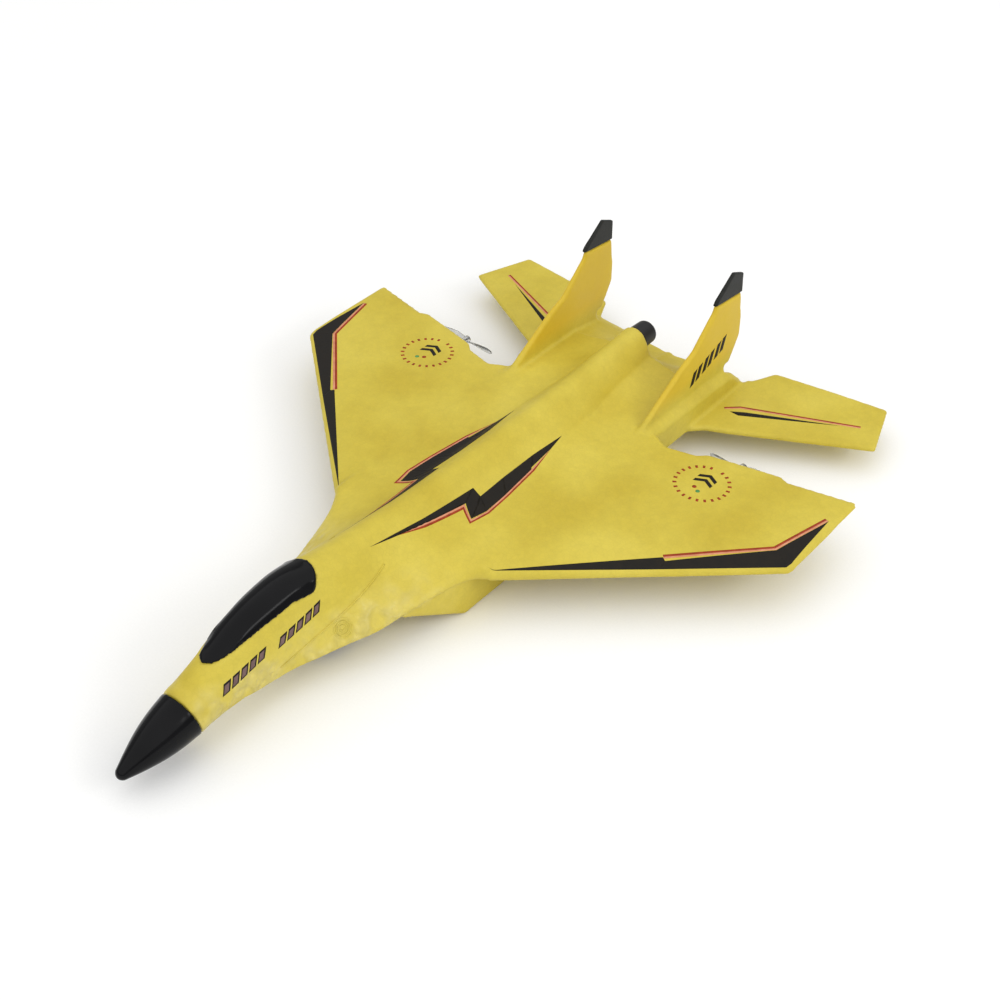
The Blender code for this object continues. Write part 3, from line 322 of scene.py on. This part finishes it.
def pouch_foil():
    """Aluminium-laminate pouch: dull silver, softly dented where the cell presses through."""
    mat, tree, place = blank("aluminium_pouch_foil")
    dent = node(tree, "ShaderNodeTexNoise",
                {"Vector": place, "Scale": 1 / (5.3 * MM), "Detail": 3.0}).outputs[0]
    colour = node(tree, "ShaderNodeValToRGB", {0: dent}, ((0.3, "#b4b6b8"), (0.7, "#cccdce"))).outputs[0]
    rough = node(tree, "ShaderNodeValToRGB", {0: dent}, ((0.3, 0.3), (0.7, 0.42))).outputs[0]
    surface(tree, colour, rough, ((dent, 0.5, 0.3 * MM),), Metallic=0.9)
    return mat


def board_laminate():
    """Glass-epoxy board: green mask over copper runs on the sheet, matt black epoxy on its chips."""
    mat, tree, place = blank("green_glass_epoxy_board")
    run = node(tree, "ShaderNodeTexBrick",
               {"Vector": place, "Color1": linear("#0e5a33"), "Color2": linear("#0c4f2d"),
                "Mortar": linear("#1f8a4d"), "Scale": 1 / (3.1 * MM), "Mortar Size": 0.03, "Brick Width": 0.8,
                "Row Height": 0.35})
    height = node(tree, "ShaderNodeSeparateXYZ", {0: place}).outputs["Z"]
    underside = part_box("receiver_board")[1][2] - BOARD_T
    chip = node(tree, "ShaderNodeMapRange", {"Value": height, "From Min": underside - 0.05 * MM,
                                             "From Max": underside - 0.1 * MM}).outputs[0]
    base = node(tree, "ShaderNodeMix", {0: chip, 6: run.outputs["Color"], 7: linear("#161617")},
                data_type="RGBA").outputs[2]
    grain = node(tree, "ShaderNodeTexNoise",
                 {"Vector": place, "Scale": 1 / (0.56 * MM), "Detail": 2.0}).outputs[0]
    rough = node(tree, "ShaderNodeValToRGB", {0: grain}, ((0.3, 0.3), (0.7, 0.45))).outputs[0]
    surface(tree, base, rough, ((run.outputs["Fac"], 0.3, 0.03 * MM),), IOR=1.52)
    return mat


EPP = moulded_epp()
GLOSS = glossy_polystyrene()
ABS = grained_plastic("satin_black_abs", "#121212", "#0b0b0c", 0.46, MOULD_GRAIN, 0.04 * MM)
NYLON = grained_plastic("natural_nylon", "#e3e1d8", "#d8d5ca", 0.50, MOULD_GRAIN, 0.03 * MM)
RED_WIRE = grained_plastic("red_pvc_sleeve", "#b3191c", "#96100f", 0.42, SLEEVE_GRAIN, 0.05 * MM)
BLACK_WIRE = grained_plastic("black_pvc_sleeve", "#1c1c1d", "#131314", 0.42, SLEEVE_GRAIN, 0.05 * MM)
CLEAR = smoky_polycarbonate()
CAN = drawn_metal("nickel_plated_can", "#c6c2b8", 0.26, (1.0, 0.04, 1.0))
BAR = drawn_metal("ground_steel_bar", "#b9bbbe", 0.24, (1.0, 0.05, 1.0))
SCREW = drawn_metal("zinc_plated_screw", "#a9abae", 0.34, (1.0, 1.0, 1.0))
CARBON = pultruded_carbon()
FOIL = pouch_foil()
BOARD = board_laminate()
TIP = film_on_foam("black_acrylic_on_foam", "#262724", "#1a1b19", 0.47)
INK_BLACK = film_on_foam("black_printed_ink", "#1d1811", "#130f09", 0.55)
INK_RED = film_on_foam("red_brown_printed_ink", "#a8401f", "#8c3016", 0.55)
INK_SALMON = film_on_foam("salmon_printed_ink", "#dd9a78", "#cc8260", 0.55)
INK_GREEN = film_on_foam("green_printed_ink", "#5f9a5a", "#4f8a4c", 0.55)
INK_PLUM = film_on_foam("grey_plum_printed_ink", "#7d6460", "#6a5250", 0.55)

# The record's slot that each material of the markings takes its finish from
SLOT_OF = {mat.name: "black_tip_film" for mat in (INK_BLACK, INK_RED, INK_SALMON, INK_GREEN, INK_PLUM)}
SLOT_OF[EPP.name] = "yellow_foam"


# ------------------------------------------------------------------ shells and skins

def only(*objs):
    """Makes these the only selected objects, and the first of them the active one."""
    bpy.ops.object.select_all(action="DESELECT")
    for obj in objs:
        obj.select_set(True)
    bpy.context.view_layer.objects.active = objs[0]


def merge_points(obj, distance):
    """Joins up points that lie closer together than distance."""
    only(obj)
    bpy.ops.object.mode_set(mode="EDIT")
    bpy.ops.mesh.select_all(action="SELECT")
    bpy.ops.mesh.remove_doubles(threshold=distance)
    bpy.ops.object.mode_set(mode="OBJECT")


def merged_copy(nodes, name):
    """One new object at the origin from copies of CAD nodes, with their loose triangles joined up."""
    copies = []
    for source in nodes:
        copies.append(bpy.data.objects.new(name, frame["nodes"][source].data.copy()))
        bpy.context.scene.collection.objects.link(copies[-1])
    only(*copies)
    if len(copies) > 1:
        bpy.ops.object.join()
    merge_points(copies[0], 0.002 * MM)
    return copies[0]


def apply_modifier(obj, kind, **settings):
    """Gives an object a modifier with these settings, and applies it."""
    only(obj)
    mod = obj.modifiers.new(kind.lower(), kind)
    for key, value in settings.items():
        setattr(mod, key, value)
    bpy.ops.object.modifier_apply(modifier=mod.name)


def relax(obj, rounds):
    """Evens a fine mesh: a light pass everywhere, then a long one that leaves edges where they are."""
    light_rounds, shrink, grow = 4, 0.60, 0.53      # each light round shrinks a little and grows back
    normal_rounds, flat_from, rise = 7, 0.972, 1.6  # how normals are spread, and what counts as flat
    mesh = obj.data
    count = len(mesh.vertices)
    places = np.empty(count * 3)
    mesh.vertices.foreach_get("co", places)
    places = places.reshape(-1, 3)
    ends = np.empty(len(mesh.edges) * 2, dtype=np.int64)
    mesh.edges.foreach_get("vertices", ends)
    a, b = ends.reshape(-1, 2).T
    degree = (np.bincount(a, minlength=count) + np.bincount(b, minlength=count)).clip(1)[:, None]

    def average(values):
        """At each point, the mean of the values at its neighbours."""
        sums = [np.bincount(a, values[b, k], count) + np.bincount(b, values[a, k], count) for k in range(3)]
        return np.stack(sums, axis=1) / degree

    for _ in range(light_rounds):
        places = places + shrink * (average(places) - places)
        places = places - grow * (average(places) - places)
    mesh.vertices.foreach_set("co", places.ravel())
    mesh.update()
    around = np.empty(count * 3)
    mesh.vertex_normals.foreach_get("vector", around)
    around = around.reshape(-1, 3)
    for _ in range(normal_rounds):
        around = average(around)
    flat = ((np.linalg.norm(around, axis=1) - flat_from) / (1 - flat_from) * rise).clip(0, 1)[:, None]
    for _ in range(rounds):
        places = places + flat * shrink * (average(places) - places)
    mesh.vertices.foreach_set("co", places.ravel())
    mesh.update()


def dress(obj, mat, nodes=(), body=None):
    """Gives a finished piece its material, the CAD nodes it stands for and the body it rides on."""
    obj.data.materials.clear()
    obj.data.materials.append(mat)
    if nodes:
        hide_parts(*nodes)
    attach(obj, body or BODY_OF[nodes[0]])
    return obj


def fine_shell(name, nodes, mat, grid, rounds, swell=0.0):
    """A smooth skin over CAD nodes: remeshed on a fine grid, evened, and standing for those nodes."""
    obj = merged_copy(nodes, name)
    if swell:
        apply_modifier(obj, "DISPLACE", strength=swell, mid_level=0.0)
    apply_modifier(obj, "REMESH", mode="VOXEL", voxel_size=grid)
    relax(obj, rounds)
    triangles = sum(len(p.vertices) - 2 for p in obj.data.polygons)
    if triangles > MOST_TRIANGLES:
        apply_modifier(obj, "DECIMATE", ratio=MOST_TRIANGLES / triangles)
    obj.data.shade_smooth()
    return dress(obj, mat, nodes)


def hard_part(source, mat, angle):
    """A small hard part: the CAD shape joined up, with round faces shaded round and edges kept sharp."""
    obj = merged_copy([source], source + "_fine")
    only(obj)
    bpy.ops.object.shade_smooth_by_angle(angle=math.radians(angle))
    return dress(obj, mat, [source])


SKIN = fine_shell("foam_skin", FOAM, EPP, SKIN_GRID, 40, FOAM_SWELL)
fine_shell("canopy_shell", ["canopy"], GLOSS, HARD_GRID, 60, CANOPY_SWELL)
fine_shell("nose_shell", ["nose_cone"], GLOSS, HARD_GRID, 60)
fine_shell("tail_cap_shell", ["tail_cap"], ABS, CAP_GRID, 30)
for tag in ("left", "right"):
    fine_shell("fin_tip_%s_skin" % tag, ["fin_tip_" + tag], TIP, HARD_GRID, 20)
    fine_shell("propeller_%s_fine" % tag, ["propeller_" + tag], CLEAR, BLADE_GRID, 20)
for sources, mat, slot, angle in (
        (("motor_mount_left", "motor_mount_right", "equipment_tub", "battery_door", "switch_panel"),
         ABS, "satin_black_plastic", HARD_EDGE),
        (("motor_left", "motor_right"), CAN, "nickel_motor_can", HARD_EDGE),
        (("motor_end_left", "motor_end_right", "power_slider", "charge_socket", "battery_plug"),
         NYLON, "white_connector_plastic", HARD_EDGE),
        (("motor_shaft_left", "motor_shaft_right", "door_hinge_pin"), BAR, "steel", HARD_EDGE),
        (("panel_screw_1", "panel_screw_2", "power_switch"), SCREW, "steel", HARD_EDGE),
        (("wing_spar", "tail_spar"), CARBON, "carbon_rod", ROD_EDGE),
        (("battery",), FOIL, "battery_foil", ROD_EDGE),
        (("receiver_board",), BOARD, "circuit_board", HARD_EDGE),
        (("motor_lead_red_left", "motor_lead_red_right", "battery_lead"), RED_WIRE, "red_wire", WIRE_EDGE),
        (("motor_lead_black_left", "motor_lead_black_right", "antenna_wire"),
         BLACK_WIRE, "black_wire", WIRE_EDGE)):
    for source in sources:
        hard_part(source, mat, angle)


# ------------------------------------------------------------------ printed markings

def cut_outline(points):
    """A convex outline, in millimetres, bisected out of a fine flat grid along its first side."""
    points = [Vector((p[0], p[1], 0.0)) * MM for p in points]
    run = points[1] - points[0]
    angle = math.atan2(run.y, run.x)
    turn = Matrix.Rotation(-angle, 4, "Z")
    flat = [turn @ p for p in points]
    low = Vector((min(p.x for p in flat), min(p.y for p in flat), 0.0))
    high = Vector((max(p.x for p in flat), max(p.y for p in flat), 0.0))
    size = high - low
    bpy.ops.object.select_all(action="DESELECT")
    bpy.ops.mesh.primitive_grid_add(x_subdivisions=max(1, round(size.x / FILM_GRID)),
                                    y_subdivisions=max(1, round(size.y / FILM_GRID)), size=1.0,
                                    location=turn.inverted() @ ((low + high) / 2), rotation=(0.0, 0.0, angle))
    sheet = bpy.context.object
    sheet.scale = (size.x, size.y, 1.0)
    bpy.ops.object.transform_apply(location=True, rotation=True, scale=True)
    middle = sum(points, Vector()) / len(points)
    bpy.ops.object.mode_set(mode="EDIT")
    for p, q in zip(points, points[1:] + points[:1]):
        out = Vector((q.y - p.y, p.x - q.x, 0.0)).normalized()
        if out.dot(middle - p) > 0:
            out = -out
        bpy.ops.mesh.select_all(action="SELECT")
        bpy.ops.mesh.bisect(plane_co=p, plane_no=out, clear_outer=True, threshold=1e-7)
    bpy.ops.object.mode_set(mode="OBJECT")
    return sheet


# How a flat drawing is stood up before it is pressed on: over the top, or beside the left or right
STAND = {
    "top": Matrix.Translation((0.0, 0.0, 0.15)),
    "left": Matrix(((0, 0, 1, 0.09), (1, 0, 0, 0), (0, 1, 0, 0), (0, 0, 0, 1))),
    "right": Matrix(((0, 0, 1, -0.09), (1, 0, 0, 0), (0, 1, 0, 0), (0, 0, 0, 1))),
}


def marking(name, outlines, mat, lay="top", lift=FILM):
    """A film on the skin: outlines pressed on along the drawing's own axis, then given thickness."""
    sheets = [cut_outline(outline) for outline in outlines]
    only(*sheets)
    if len(sheets) > 1:
        bpy.ops.object.join()
    obj = bpy.context.object
    obj.name = obj.data.name = name
    merge_points(obj, 0.02 * MM)
    obj.matrix_world = STAND[lay]
    bpy.ops.object.transform_apply(location=True, rotation=True, scale=True)
    axis = "z" if lay == "top" else "x"
    apply_modifier(obj, "SHRINKWRAP", target=SKIN, wrap_method="PROJECT", wrap_mode="ABOVE_SURFACE",
                   offset=lift, use_negative_direction=lay != "right", use_positive_direction=lay == "right",
                   **{"use_project_" + axis: True})
    obj.data.shade_smooth()
    if lay == "right":
        # the drawing's face looks inwards there
        bpy.ops.object.mode_set(mode="EDIT")
        bpy.ops.mesh.select_all(action="SELECT")
        bpy.ops.mesh.flip_normals()
        bpy.ops.object.mode_set(mode="OBJECT")
    apply_modifier(obj, "SOLIDIFY", thickness=lift + ROOT, offset=-1.0)
    return dress(obj, mat, body="airframe")


def offset_line(points, gap):
    """The line moved sideways to its left by gap, with mitred corners that aren't drawn out too far."""
    points = [Vector(p) for p in points]
    out = []
    for i, point in enumerate(points):
        near = (points[i] - points[i - 1]).normalized() if i else None
        far = (points[i + 1] - points[i]).normalized() if i < len(points) - 1 else None
        ways = [Vector((-d.y, d.x)) for d in (near, far) if d]
        mean = sum(ways, Vector((0.0, 0.0))).normalized()
        out.append(point + mean * gap / max(0.45, mean.dot(ways[0])))
    return out


def band(points, inner, outer, pointed=False):
    """Outlines between two offsets of a line, four-cornered, or running out to a point at both ends."""
    a, b = offset_line(points, inner), offset_line(points, outer)
    strips = [[a[i], a[i + 1], b[i + 1], b[i]] for i in range(len(a) - 1)]
    if pointed:
        strips[0] = [Vector(points[0]), a[1], b[1]]
        strips[-1] = [a[-2], Vector(points[-1]), b[-2]]
    return strips


def mirror(outlines):
    """The outlines on the model's other side."""
    return [[(-p[0], p[1]) for p in outline] for outline in outlines]


def both_sides(name, outlines, mat):
    """A marking on the left of the model, and its mirror image on the right."""
    marking(name + "_left", outlines, mat)
    marking(name + "_right", mirror(outlines), mat)


def edge_point(x, behind):
    """A point on the wing at span station x, some millimetres behind the leading edge."""
    share = (x - EDGE_START.x) / (EDGE_END.x - EDGE_START.x)
    return (x, EDGE_START.y + (EDGE_END.y - EDGE_START.y) * share + behind)


def wing_stripe():
    """A black flash that widens along the leading edge and turns aft at the tip, with two lines inside it."""
    root, middle_in, middle_out = edge_point(49.0, 3.0), edge_point(108.5, 2.4), edge_point(111.0, 2.4)
    corner, side, end = edge_point(157.2, 2.6), (157.9, 66.5), (155.9, 103.6)
    bend, notch, step = (147.6, 69.0), (110.6, 28.6), (108.5, 29.7)
    black = [[root, middle_in, step], [middle_in, middle_out, notch, step],
             [middle_out, corner, bend, notch], [corner, side, end, bend]]
    both_sides("wing_flash", black, INK_BLACK)
    line = [(109.4, 29.2), bend, end]
    both_sides("wing_line_salmon", band(line, 0.15, 1.25), INK_SALMON)
    both_sides("wing_line_red", band(line, 1.25, 2.5), INK_RED)


def back_bolt():
    """A two-stage bolt on each side of the spine, black with two thin lines along its outer side."""
    front, kink, notch, rear = (8.7, -67.5), (12.1, 3.2), (16.7, 3.4), (16.6, 72.5)
    heel, low, waist = (25.0, -2.0), (23.2, -11.4), (15.4, -6.4)
    outer = ((18.2, 58.0), (21.2, 38.0), (24.0, 14.0))
    line = [*outer, (25.2, -2.2), (23.6, -11.8), (15.4, -7.2), (12.0, -34.0), (10.2, -52.0)]
    for tag, shift in (("left", 0.0), ("right", 3.4)):
        # the right bolt's inner side lies nearer the middle
        elbow = (kink[0] - 0.6 * shift, kink[1])
        inner = ((notch[0] - 0.6 * shift, notch[1]), (16.0 - shift, 22.0), (15.8 - shift, 46.0))
        black = [[front, waist, elbow], [elbow, waist, low, inner[0]], [inner[0], low, heel],
                 [inner[0], heel, outer[2], inner[1]], [inner[1], outer[2], outer[1], inner[2]],
                 [inner[2], outer[1], outer[0], rear]]
        for name, outlines, mat in (("back_bolt", black, INK_BLACK),
                                    ("bolt_line_salmon", band(line, 0.0, 0.85, True), INK_SALMON),
                                    ("bolt_line_red", band(line, 0.85, 1.75, True), INK_RED)):
            marking(name + "_" + tag, outlines if tag == "left" else mirror(outlines), mat)


def tail_wedge():
    """A thin black wedge on each tailplane with two lines on its aft side."""
    both_sides("tail_wedge", [[(59.4, 163.9), (65.0, 163.6), (112.5, 190.4), (66.0, 168.2)]], INK_BLACK)
    line = [(122.0, 196.2), (62.0, 170.6), (55.4, 164.6)]
    both_sides("tail_line_salmon", band(line, 0.0, 0.9), INK_SALMON)
    both_sides("tail_line_red", band(line, -1.0, 0.0), INK_RED)


def roundel():
    """A plain ring of short bars with two chevrons and two dots inside it."""
    cx, cy, ring, count = 92.0, 87.2, 13.9, 22
    first, sweep = 104.0, 332.0                  # degrees: the ring's first bar, and the arc to its last
    half_long, half_wide = 1.0, 0.65             # of a bar
    arm, drop, thick = 5.2, 0.6, 2.3             # of a chevron: its reach, the fall of its tips, its height
    dot_radius, dot_sides = 1.2, 8
    bars = []
    for k in range(count):
        angle = math.radians(first + k * sweep / (count - 1))
        radial = Vector((math.cos(angle), math.sin(angle)))
        along = Vector((-radial.y, radial.x))
        middle = Vector((cx, cy)) + radial * ring
        bars.append([middle + radial * u * half_long + along * v * half_wide
                     for u, v in ((-1, -1), (1, -1), (1, 1), (-1, 1))])
    both_sides("roundel_ring", bars, INK_RED)
    chevrons = []
    for foot in (cy + 2.2, cy + 6.4):
        for s in (-1, 1):
            chevrons.append([(cx, foot), (cx, foot + thick), (cx + s * arm, foot - drop),
                             (cx + s * arm, foot - drop - thick)])
    both_sides("roundel_chevrons", chevrons, INK_BLACK)
    angles = [math.radians(k * 360.0 / dot_sides) for k in range(dot_sides)]
    for name, dx, dy, mat in (("red", -1.6, -4.6, INK_RED), ("green", 1.8, -6.6, INK_GREEN)):
        dot = [(cx + dx + dot_radius * math.cos(a), cy + dy + dot_radius * math.sin(a)) for a in angles]
        both_sides("roundel_dot_" + name, [dot], mat)


def leaning(start, rise, width, height, lean):
    """A slanted bar from its lower front corner, on a line that rises this much per millimetre."""
    u, v = start
    foot = v + rise * width
    return [(u, v), (u + width, foot), (u + width + lean, foot + height), (u + lean, v + height)]


def side_bars():
    """Two rows of slanted bars with a lighter core along each side of the forebody."""
    count, pitch, rise = 5, 5.3, 0.20
    dark, core = [], []
    for start_u, start_v in ((-167.0, 27.2), (-133.6, 32.4)):
        for k in range(count):
            u, v = start_u + k * pitch, start_v + k * pitch * rise
            dark.append(leaning((u, v), rise, width=4.3, height=5.2, lean=2.4))
            core.append(leaning((u + 0.9, v + 0.75), rise, width=2.7, height=3.6, lean=1.7))
    for lay in ("left", "right"):
        marking("side_bars_" + lay, dark, INK_BLACK, lay)
        marking("side_bar_cores_" + lay, core, INK_PLUM, lay, 2 * FILM)


def fin_bars():
    """Three slanted blocks with a slit on the outer side of each fin."""
    count, pitch, half_pitch, rise = 3, 11.0, 5.0, 0.30
    blocks = []
    for k in range(count):
        for u in (k * pitch, k * pitch + half_pitch):
            blocks.append(leaning((143.6 + u, 37.2 + u * rise), rise, width=3.6, height=8.4, lean=3.0))
    for lay in ("left", "right"):
        marking("fin_blocks_" + lay, blocks, INK_BLACK, lay)


def parting_lines():
    """The thin raised line that the mould's parting leaves along each side of the forebody."""
    line = [(-134.0, 21.4), (-110.0, 27.4), (-88.0, 33.0), (-66.0, 38.6)]
    for lay in ("left", "right"):
        marking("parting_line_" + lay, band(line, -0.3, 0.3), EPP, lay, 0.28 * MM)


wing_stripe()
back_bolt()
tail_wedge()
roundel()
side_bars()
fin_bars()
parting_lines()


# ------------------------------------------------------------------ floor, light and camera

def matt_floor():
    """A seamless floor of pale uncoated paper: matt, its tooth drawn coarser than real so that it shows."""
    mat, tree, place = blank("pale_paper_floor")
    tooth = node(tree, "ShaderNodeTexNoise",
                 {"Vector": place, "Scale": 1 / (1.1 * MM), "Detail": 2.0}).outputs[0]
    colour = node(tree, "ShaderNodeValToRGB", {0: tooth}, ((0.3, "#f6f6f5"), (0.7, "#f9f9f8"))).outputs[0]
    rough = node(tree, "ShaderNodeValToRGB", {0: tooth}, ((0.3, 0.86), (0.7, 0.94))).outputs[0]
    surface(tree, colour, rough, ((tooth, 0.1, 0.05 * MM),))
    bpy.ops.object.select_all(action="DESELECT")
    bpy.ops.mesh.primitive_plane_add(size=FLOOR_SIZE, location=(0.0, 0.0, 0.0))
    floor = bpy.context.object
    floor.name = "floor"
    floor.data.materials.append(mat)


def lamp(name, kind, towards, place=(0.0, 0.0, 0.0), **settings):
    """A lamp at a place, shining towards a direction, with these settings."""
    light = bpy.data.lights.new(name, kind)
    for key, value in settings.items():
        setattr(light, key, value)
    obj = bpy.data.objects.new(name, light)
    bpy.context.scene.collection.objects.link(obj)
    obj.location = place
    obj.rotation_euler = towards.to_track_quat("-Z", "Y").to_euler()


def studio():
    """The white sky, the wide lamp overhead and the softbox at the side."""
    scene = bpy.context.scene
    world = bpy.data.worlds.new("studio")
    scene.world = world
    world.use_nodes = True
    sky = world.node_tree.nodes["Background"].inputs
    sky["Color"].default_value = (1.0, 1.0, 1.0, 1.0)
    sky["Strength"].default_value = SKY_STRENGTH
    lamp("overhead_diffuser", "SUN", -Vector(LAMP_FROM), energy=LAMP_STRENGTH, angle=LAMP_WIDTH)
    lamp("side_softbox", "AREA", Vector(SOFTBOX_TO) - Vector(SOFTBOX_AT), SOFTBOX_AT, shape="RECTANGLE",
         size=SOFTBOX_SIZE[0], size_y=SOFTBOX_SIZE[1], energy=SOFTBOX_POWER)
    scene.view_settings.view_transform = "Standard"
    scene.view_settings.look = "None"


def stand_camera():
    """The camera, at its place and turned to its three directions."""
    lens = bpy.data.cameras.new("camera")
    lens.lens = CAMERA_LENS
    lens.sensor_width = 36.0
    lens.clip_start = 0.01
    camera = bpy.data.objects.new("camera", lens)
    bpy.context.scene.collection.objects.link(camera)
    turn = Matrix((CAMERA_RIGHT, CAMERA_UP, CAMERA_BACK)).transposed().to_4x4()
    camera.matrix_world = Matrix.Translation(CAMERA_AT) @ turn
    bpy.context.scene.camera = camera


matt_floor()
studio()
stand_camera()
